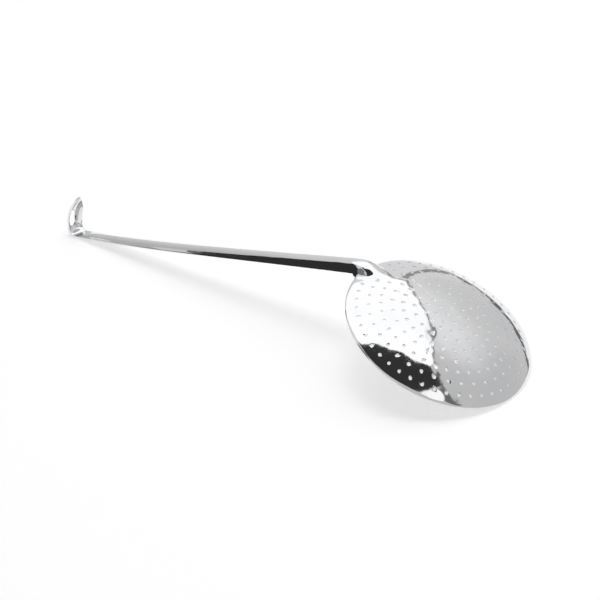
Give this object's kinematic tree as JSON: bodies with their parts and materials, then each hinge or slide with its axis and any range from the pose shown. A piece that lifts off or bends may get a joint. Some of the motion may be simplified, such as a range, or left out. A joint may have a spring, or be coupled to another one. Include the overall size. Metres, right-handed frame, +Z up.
{
  "type": "skimmer",
  "caption": "One-piece pressed steel skimmer: domed round blade with rings of draining holes, a long ridged handle and a hooked end with a hanging slot",
  "frame": {"origin": "On the surface that the skimmer lies on, under the middle of its length and width", "axes": "+X runs from the hook to the tip of the blade, +Y across it, +Z up; the domed back of the blade faces up"},
  "size_m": [0.5039, 0.16, 0.074],
  "materials": {
    "steel": "mirror-polished stainless steel"
  },
  "bodies": {
    "root": {"skimmer": "steel"}
  },
  "joints": []
}
